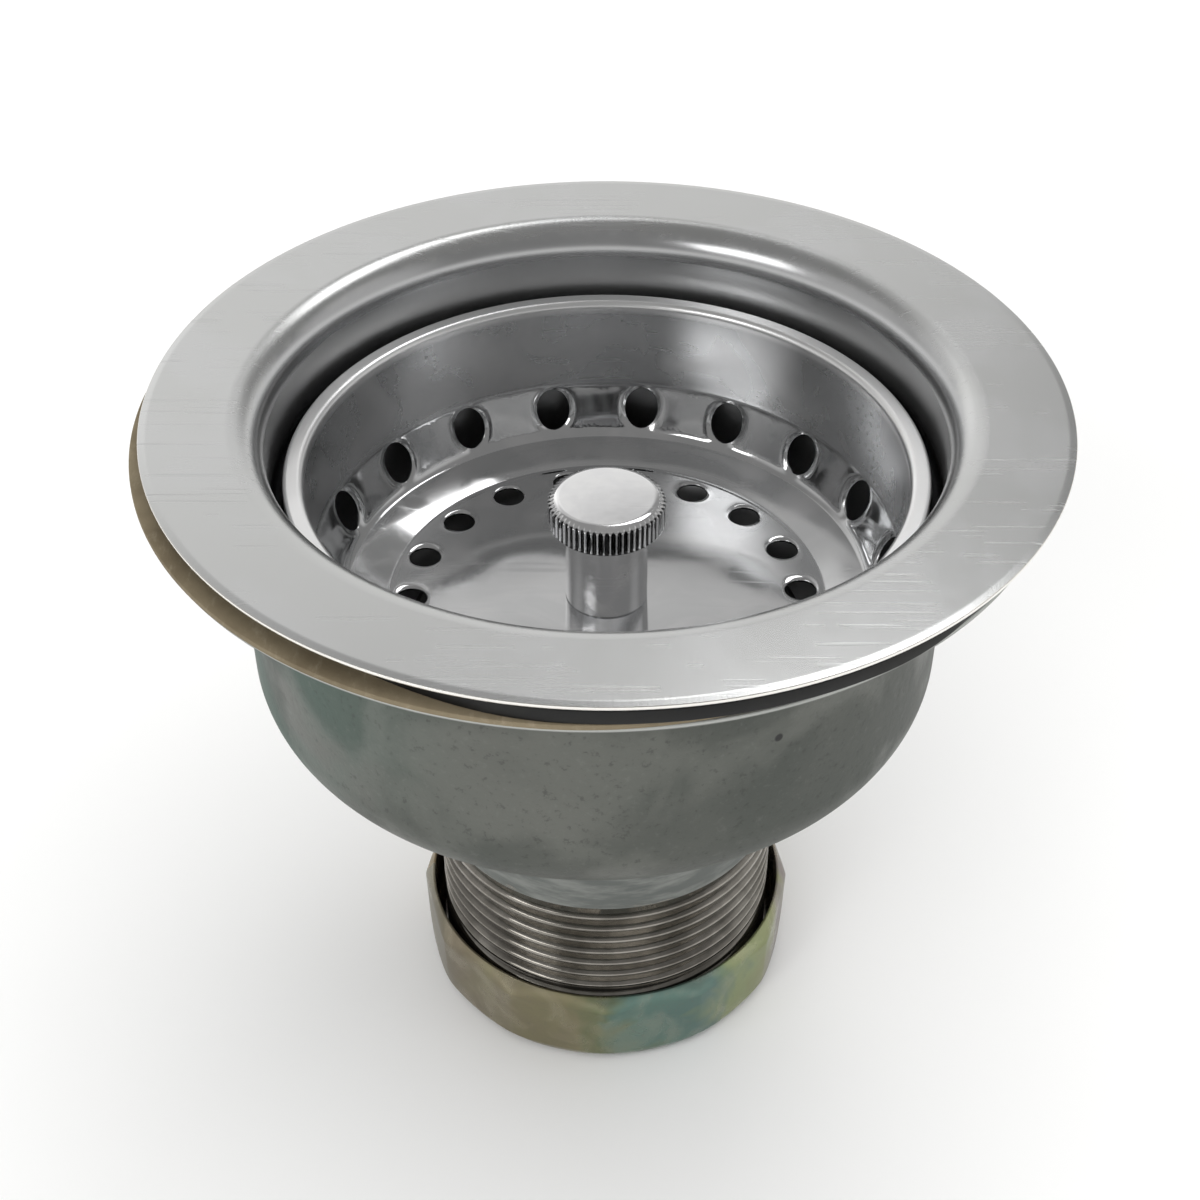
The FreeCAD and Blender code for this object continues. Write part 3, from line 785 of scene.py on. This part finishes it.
def dull_zinc():
    """Dull grey-green coating with a cloudy surface, a teal tinge on one side, one dark mark, and a painted
    highlight along the top edge.
    """
    material, n, shader = new_material("dull_zinc", 0.55, 0.5)
    place = n.place()
    x, _, z = n.parts_of(place)
    marks = n.group(HANDLING, place=place, size=55.0)
    speckle = n.noise(place, 900.0, 4.0, 0.7)
    cloud = n.noise(place, 24.0, 4.0, 0.6, 0.4)
    tone = n.mix(n.ramp(cloud, 0.35, 0.7), (0.072, 0.079, 0.070), (0.105, 0.109, 0.098))
    teal = n.math("MULTIPLY", n.ramp(x, -0.012, -0.04), n.ramp(cloud, 0.42, 0.6))
    tone = n.mix(n.math("MULTIPLY", teal, 0.7), tone, (0.05, 0.10, 0.08))
    tone = n.mix(n.math("MULTIPLY", marks["Mask"], 0.35), tone, (0.17, 0.173, 0.155))
    tone = n.mix(n.ramp(speckle, 0.55, 0.72, 0.0, 0.2), tone, (0.19, 0.198, 0.182))
    tone = n.mix(n.ramp(speckle, 0.45, 0.30, 0.0, 0.5), tone, (0.04, 0.043, 0.038))
    away = n.add("ShaderNodeVectorMath", operation="DISTANCE")
    n.join(place, away.inputs[0])
    away.inputs[1].default_value = DARK_MARK
    tone = n.mix(n.ramp(away.outputs["Value"], 0.0007, 0.0004), tone, (0.02, 0.02, 0.02))
    # Painted highlight: the cup's top edge, above about 92 mm, is painted light (0.42).
    n.join(n.mix(n.ramp(z, 0.0917, 0.0920), tone, (0.42, 0.43, 0.41)), shader.inputs["Base Color"])
    n.join(n.ramp(marks["Mask"], 0.0, 1.0, 0.55, 0.42), shader.inputs["Roughness"])
    bumped(n, shader, (speckle, 0.6, 0.0001), (n.noise(place, 160.0, 3.0), 0.15, 0.0003))
    return material


def cut_thread():
    """Bare cut thread in warm grey below a scuffed, dull coated neck."""
    material, n, shader = new_material("cut_thread", 0.9, 0.3)
    place = n.place()
    z = n.parts_of(place)[2]
    scuffs = n.noise(n.stretched(place, (1.0, 1.0, 5.0)), 120.0, 4.0, 0.65)
    ragged = n.math("MULTIPLY", n.math("SUBTRACT", scuffs, 0.5), 0.0055)
    coated = n.ramp(n.math("ADD", z, ragged), 0.0288, 0.0294)
    cloud = n.noise(place, 130.0, 4.0, 0.6)
    cut = n.mix(n.ramp(cloud, 0.35, 0.65), (0.20, 0.188, 0.166), (0.36, 0.34, 0.306))
    neck = n.mix(n.ramp(scuffs, 0.4, 0.7), (0.13, 0.14, 0.132), (0.23, 0.24, 0.225))
    n.join(n.mix(coated, cut, neck), shader.inputs["Base Color"])
    n.join(n.ramp(coated, 0.0, 1.0, 0.95, 0.5), shader.inputs["Metallic"])
    n.join(n.ramp(coated, 0.0, 1.0, 0.13, 0.5), shader.inputs["Roughness"])
    lines = n.noise(n.stretched(place, (0.15, 0.15, 1.0)), 3500.0, 2.0)
    bumped(n, shader, (lines, 0.2, 0.00002), (scuffs, 0.15, 0.00006))
    return material


def yellow_zinc():
    """Yellow passivated zinc with soft iridescent patches."""
    material, n, shader = new_material("yellow_zinc", 0.85, 0.3)
    place = n.place()
    x, y, _ = n.parts_of(place)
    around = n.math("DIVIDE", n.math("ARCTAN2", y, x), 2 * math.pi)
    patches = n.math("MULTIPLY", n.math("SUBTRACT", n.noise(place, 90.0, 3.0, 0.5, 0.8), 0.5), 0.22)
    film = n.math("ADD", n.math("ADD", around, 0.5), patches)
    ramp = n.add("ShaderNodeValToRGB")
    n.join(film, ramp.inputs[0])
    colours = [
        (0.0, (0.16, 0.15, 0.11)), (0.12, (0.20, 0.17, 0.12)), (0.2, (0.22, 0.20, 0.12)),
        (0.25, (0.16, 0.18, 0.10)), (0.29, (0.13, 0.21, 0.18)), (0.34, (0.12, 0.19, 0.17)),
        (0.39, (0.25, 0.29, 0.15)), (0.43, (0.25, 0.26, 0.13)), (0.47, (0.22, 0.19, 0.18)),
        (0.6, (0.28, 0.24, 0.12)), (0.75, (0.19, 0.23, 0.19)), (0.88, (0.29, 0.25, 0.13)),
        (1.0, (0.26, 0.20, 0.13)),
    ]
    elements = ramp.color_ramp.elements
    for element, (position, colour) in zip(elements, (colours[0], colours[-1])):
        element.position, element.color = position, colour + (1.0,)
    for position, colour in colours[1:-1]:
        elements.new(position).color = colour + (1.0,)
    marks = n.group(HANDLING, place=place, size=150.0)
    speckle = n.noise(place, 1500.0, 3.0, 0.7)
    tone = n.mix(n.ramp(speckle, 0.55, 0.75, 0.0, 0.35), ramp.outputs["Color"], (0.16, 0.15, 0.12))
    n.join(n.mix(n.math("MULTIPLY", marks["Mask"], 0.2), tone, (0.5, 0.46, 0.36)), shader.inputs["Base Color"])
    n.join(n.ramp(marks["Mask"], 0.0, 1.0, 0.34, 0.24), shader.inputs["Roughness"])
    bumped(n, shader, (speckle, 0.25, 0.00004), (n.noise(place, 220.0, 3.0), 0.15, 0.0003))
    return material


def black_rubber():
    material, n, shader = new_material("black_rubber", 0.0, 0.6)
    shader.inputs["Specular IOR Level"].default_value = 0.25
    place = n.place()
    marks = n.group(HANDLING, place=place, size=120.0)
    n.join(n.mix(marks["Mask"], (0.006, 0.006, 0.006), (0.016, 0.016, 0.015)), shader.inputs["Base Color"])
    n.join(n.ramp(marks["Mask"], 0.0, 1.0, 0.5, 0.68), shader.inputs["Roughness"])
    bumped(n, shader, (n.noise(place, 1400.0, 3.0, 0.6), 0.2, 0.00005))
    return material


def brown_card():
    material, n, shader = new_material("brown_card", 0.0, 0.85)
    place = n.place()
    fibres = n.noise(n.stretched(place, (1.0, 0.35, 1.0)), 700.0, 5.0, 0.7)
    stain = n.noise(place, 70.0, 4.0, 0.6)
    tone = n.mix(n.ramp(stain, 0.35, 0.65), (0.145, 0.115, 0.07), (0.205, 0.168, 0.108))
    n.join(n.mix(n.ramp(fibres, 0.5, 0.75, 0.0, 0.5), tone, (0.30, 0.26, 0.185)), shader.inputs["Base Color"])
    n.join(n.ramp(stain, 0.3, 0.7, 0.8, 0.92), shader.inputs["Roughness"])
    bumped(n, shader, (fibres, 0.6, 0.00012))
    return material


def spring_steel():
    material, n, shader = new_material("spring_steel", 1.0, 0.25)
    place = n.place()
    marks = n.group(HANDLING, place=place, size=200.0)
    n.join(n.mix(marks["Mask"], (0.45, 0.45, 0.46), (0.56, 0.56, 0.56)), shader.inputs["Base Color"])
    n.join(n.ramp(marks["Mask"], 0.0, 1.0, 0.2, 0.34), shader.inputs["Roughness"])
    bumped(n, shader, (n.noise(place, 900.0, 2.0), 0.15, 0.00003))
    return material


MATERIALS = {
    "flange_steel": flange_steel(), "polished_steel": polished_steel(), "chrome": bright_chrome(),
    "dull_zinc": dull_zinc(), "cut_thread": cut_thread(), "yellow_zinc": yellow_zinc(),
    "black_rubber": black_rubber(), "brown_card": brown_card(), "spring_steel": spring_steel(),
}

make_bowl(MATERIALS["flange_steel"])
make_basket(MATERIALS["polished_steel"])
make_knob(MATERIALS["chrome"])
make_gasket(MATERIALS["black_rubber"])
make_card(MATERIALS["brown_card"])
make_cup(MATERIALS["dull_zinc"])
make_tail(MATERIALS["cut_thread"])
make_nut(MATERIALS["yellow_zinc"])

for part in frame["record"]["subparts"]:
    node = frame["nodes"][part["node"]]
    if not node.hide_render:
        node.data.materials.clear()
        node.data.materials.append(MATERIALS[part["material_slot"]])


def make_floor():
    bpy.ops.mesh.primitive_plane_add(size=FLOOR_SIZE, location=(0, 0, 0))
    floor = bpy.context.object
    floor.name = "pale_floor"
    material, n, shader = new_material("pale_floor", 0.0, 0.7)
    place = n.place()
    n.join(n.mix(n.noise(place, 3.0), (0.88, 0.88, 0.875), (0.90, 0.90, 0.895)), shader.inputs["Base Color"])
    floor.data.materials.append(material)


ROOM = 0.27
HORIZON = 0.9
# Soft room light: azimuth from +X, elevation and half spread, all in degrees, and strength
SOFT_AREAS = [
    (97.0, 14.0, 34.0, 0.6),
    (54.0, 0.0, 26.0, 0.35),
    (130.0, 24.0, 24.0, 0.4),
    (110.0, 44.0, 17.0, 0.25),
    (0.0, 18.0, 34.0, 0.3),
    (180.0, 18.0, 34.0, 0.25),
]


# Lamps: name, azimuth and elevation in degrees, distance, width and height in metres, watts, and if mirrored
LAMPS = [
    ("key", 67.0, 54.0, 1.2, 0.5, 0.28, 1.4, True),
    ("side", -139.0, 35.0, 1.2, 0.6, 0.34, 1.9, True),
    ("fill", 20.0, 80.0, 1.5, 2.4, 2.4, 26.0, False),
    ("front", -115.0, 28.0, 1.5, 0.9, 0.9, 9.0, False),
]
LAMP_TARGET = (0, 0, 0.08)
CAMERA_PLACE = (0.0, -0.20963, 0.23301)
CAMERA_WAY = (-0.0032, 0.7778, -0.6285)
CAMERA_LENS = 60.65  # millimetres, for a sensor 36 mm wide
FLOOR_SIZE = 6.0


def direction_of(azimuth, elevation):
    a, e = math.radians(azimuth), math.radians(elevation)
    return (math.cos(a) * math.cos(e), math.sin(a) * math.cos(e), math.sin(e))


def make_room():
    world = bpy.data.worlds.new("soft_room")
    bpy.context.scene.world = world
    world.use_nodes = True
    n = Nodes(world.node_tree)
    way = n.add("ShaderNodeTexCoord").outputs["Generated"]
    total = ROOM
    for azimuth, elevation, spread, strength in SOFT_AREAS:
        dot = n.add("ShaderNodeVectorMath", operation="DOT_PRODUCT")
        n.join(way, dot.inputs[0])
        dot.inputs[1].default_value = direction_of(azimuth, elevation)
        edge = math.cos(math.radians(spread))
        full = 1.0 - (1.0 - edge) * 0.2
        total = n.math("ADD", total, n.ramp(dot.outputs["Value"], edge, full, 0.0, strength))
    low = n.ramp(n.parts_of(way)[2], 0.15, 0.38, HORIZON, 0.0)
    background = world.node_tree.nodes["Background"]
    n.join(n.math("MAXIMUM", total, low), background.inputs["Strength"])
    background.inputs["Color"].default_value = (1.0, 0.995, 0.985, 1.0)


def add_soft_light(name, azimuth, elevation, distance, width, height, watts, mirrored):
    light = bpy.data.lights.new(name, "AREA")
    light.shape = "RECTANGLE"
    light.size, light.size_y = width, height
    light.energy = watts
    lamp = bpy.data.objects.new(name, light)
    bpy.context.scene.collection.objects.link(lamp)
    way = Vector(direction_of(azimuth, elevation))
    lamp.location = Vector(LAMP_TARGET) + way * distance
    lamp.rotation_euler = way.to_track_quat("Z", "Y").to_euler()
    lamp.visible_camera = False
    lamp.visible_glossy = mirrored


def make_camera():
    camera = bpy.data.cameras.new("camera")
    camera.sensor_width = 36.0
    camera.lens = CAMERA_LENS
    camera.clip_start = 0.01
    holder = bpy.data.objects.new("camera", camera)
    bpy.context.scene.collection.objects.link(holder)
    holder.location = CAMERA_PLACE
    holder.rotation_euler = Vector(CAMERA_WAY).to_track_quat("-Z", "Y").to_euler()
    bpy.context.scene.camera = holder


make_floor()
make_room()
for lamp_values in LAMPS:
    add_soft_light(*lamp_values)
make_camera()
bpy.context.scene.view_settings.view_transform = "Standard"
